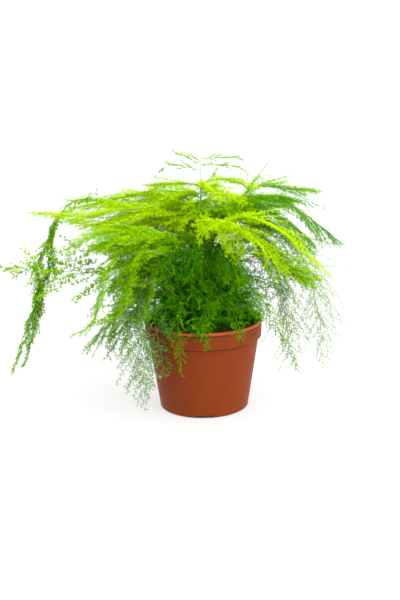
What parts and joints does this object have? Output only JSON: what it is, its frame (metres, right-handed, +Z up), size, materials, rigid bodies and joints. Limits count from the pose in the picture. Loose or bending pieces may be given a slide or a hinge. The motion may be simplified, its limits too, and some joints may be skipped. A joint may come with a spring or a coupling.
{
  "type": "potted asparagus fern",
  "caption": "Feathery asparagus fern with arching and trailing sprays, growing from compost in a round tapered plastic pot; stands on its foot ring.",
  "frame": {"origin": "on the resting surface, at the middle of the pad under the pot, on the pot's axis", "axes": "+Z up along the pot's axis, +X to the plant's right, +Y to its back; the longest sprays reach out along X"},
  "size_m": [0.3466, 0.2543, 0.254],
  "materials": {
    "pot_plastic": "satin",
    "compost": "matte",
    "stem": "satin",
    "spray_lime": "matte",
    "spray_green": "matte",
    "spray_sage": "matte"
  },
  "bodies": {
    "root": {"pot": "pot_plastic", "compost": "compost", "spire_stem": "stem", "spire_spray": "spray_lime", "left_top_stem": "stem", "left_top_spray": "spray_lime", "left_long_stem": "stem", "left_long_spray": "spray_lime", "left_mid_stem": "stem", "left_mid_spray": "spray_green", "left_rope_stem": "stem", "left_rope_spray": "spray_green", "left_twig_stem": "stem", "left_twig_spray": "spray_green", "left_droop_stem": "stem", "left_droop_spray": "spray_green", "left_low_stem": "stem", "left_low_spray": "spray_green", "left_skirt_stem": "stem", "left_skirt_spray": "spray_green", "left_hang_stem": "stem", "left_hang_spray": "spray_sage", "rim_left_stem": "stem", "rim_left_spray": "spray_green", "rim_centre_stem": "stem", "rim_centre_spray": "spray_green", "rim_right_stem": "stem", "rim_right_spray": "spray_green", "front_lime_stem": "stem", "front_lime_spray": "spray_lime", "front_left_stem": "stem", "front_left_spray": "spray_green", "front_centre_stem": "stem", "front_centre_spray": "spray_green", "front_right_stem": "stem", "front_right_spray": "spray_green", "right_lime_stem": "stem", "right_lime_spray": "spray_lime", "right_rope_stem": "stem", "right_rope_spray": "spray_green", "right_droop_stem": "stem", "right_droop_spray": "spray_green", "right_top_stem": "stem", "right_top_spray": "spray_green", "right_long_stem": "stem", "right_long_spray": "spray_green", "right_hang_stem": "stem", "right_hang_spray": "spray_sage", "back_left_stem": "stem", "back_left_spray": "spray_green", "back_centre_stem": "stem", "back_centre_spray": "spray_green", "back_right_stem": "stem", "back_right_spray": "spray_green", "back_low_left_stem": "stem", "back_low_left_spray": "spray_green", "back_low_right_stem": "stem", "back_low_right_spray": "spray_green"}
  },
  "joints": []
}
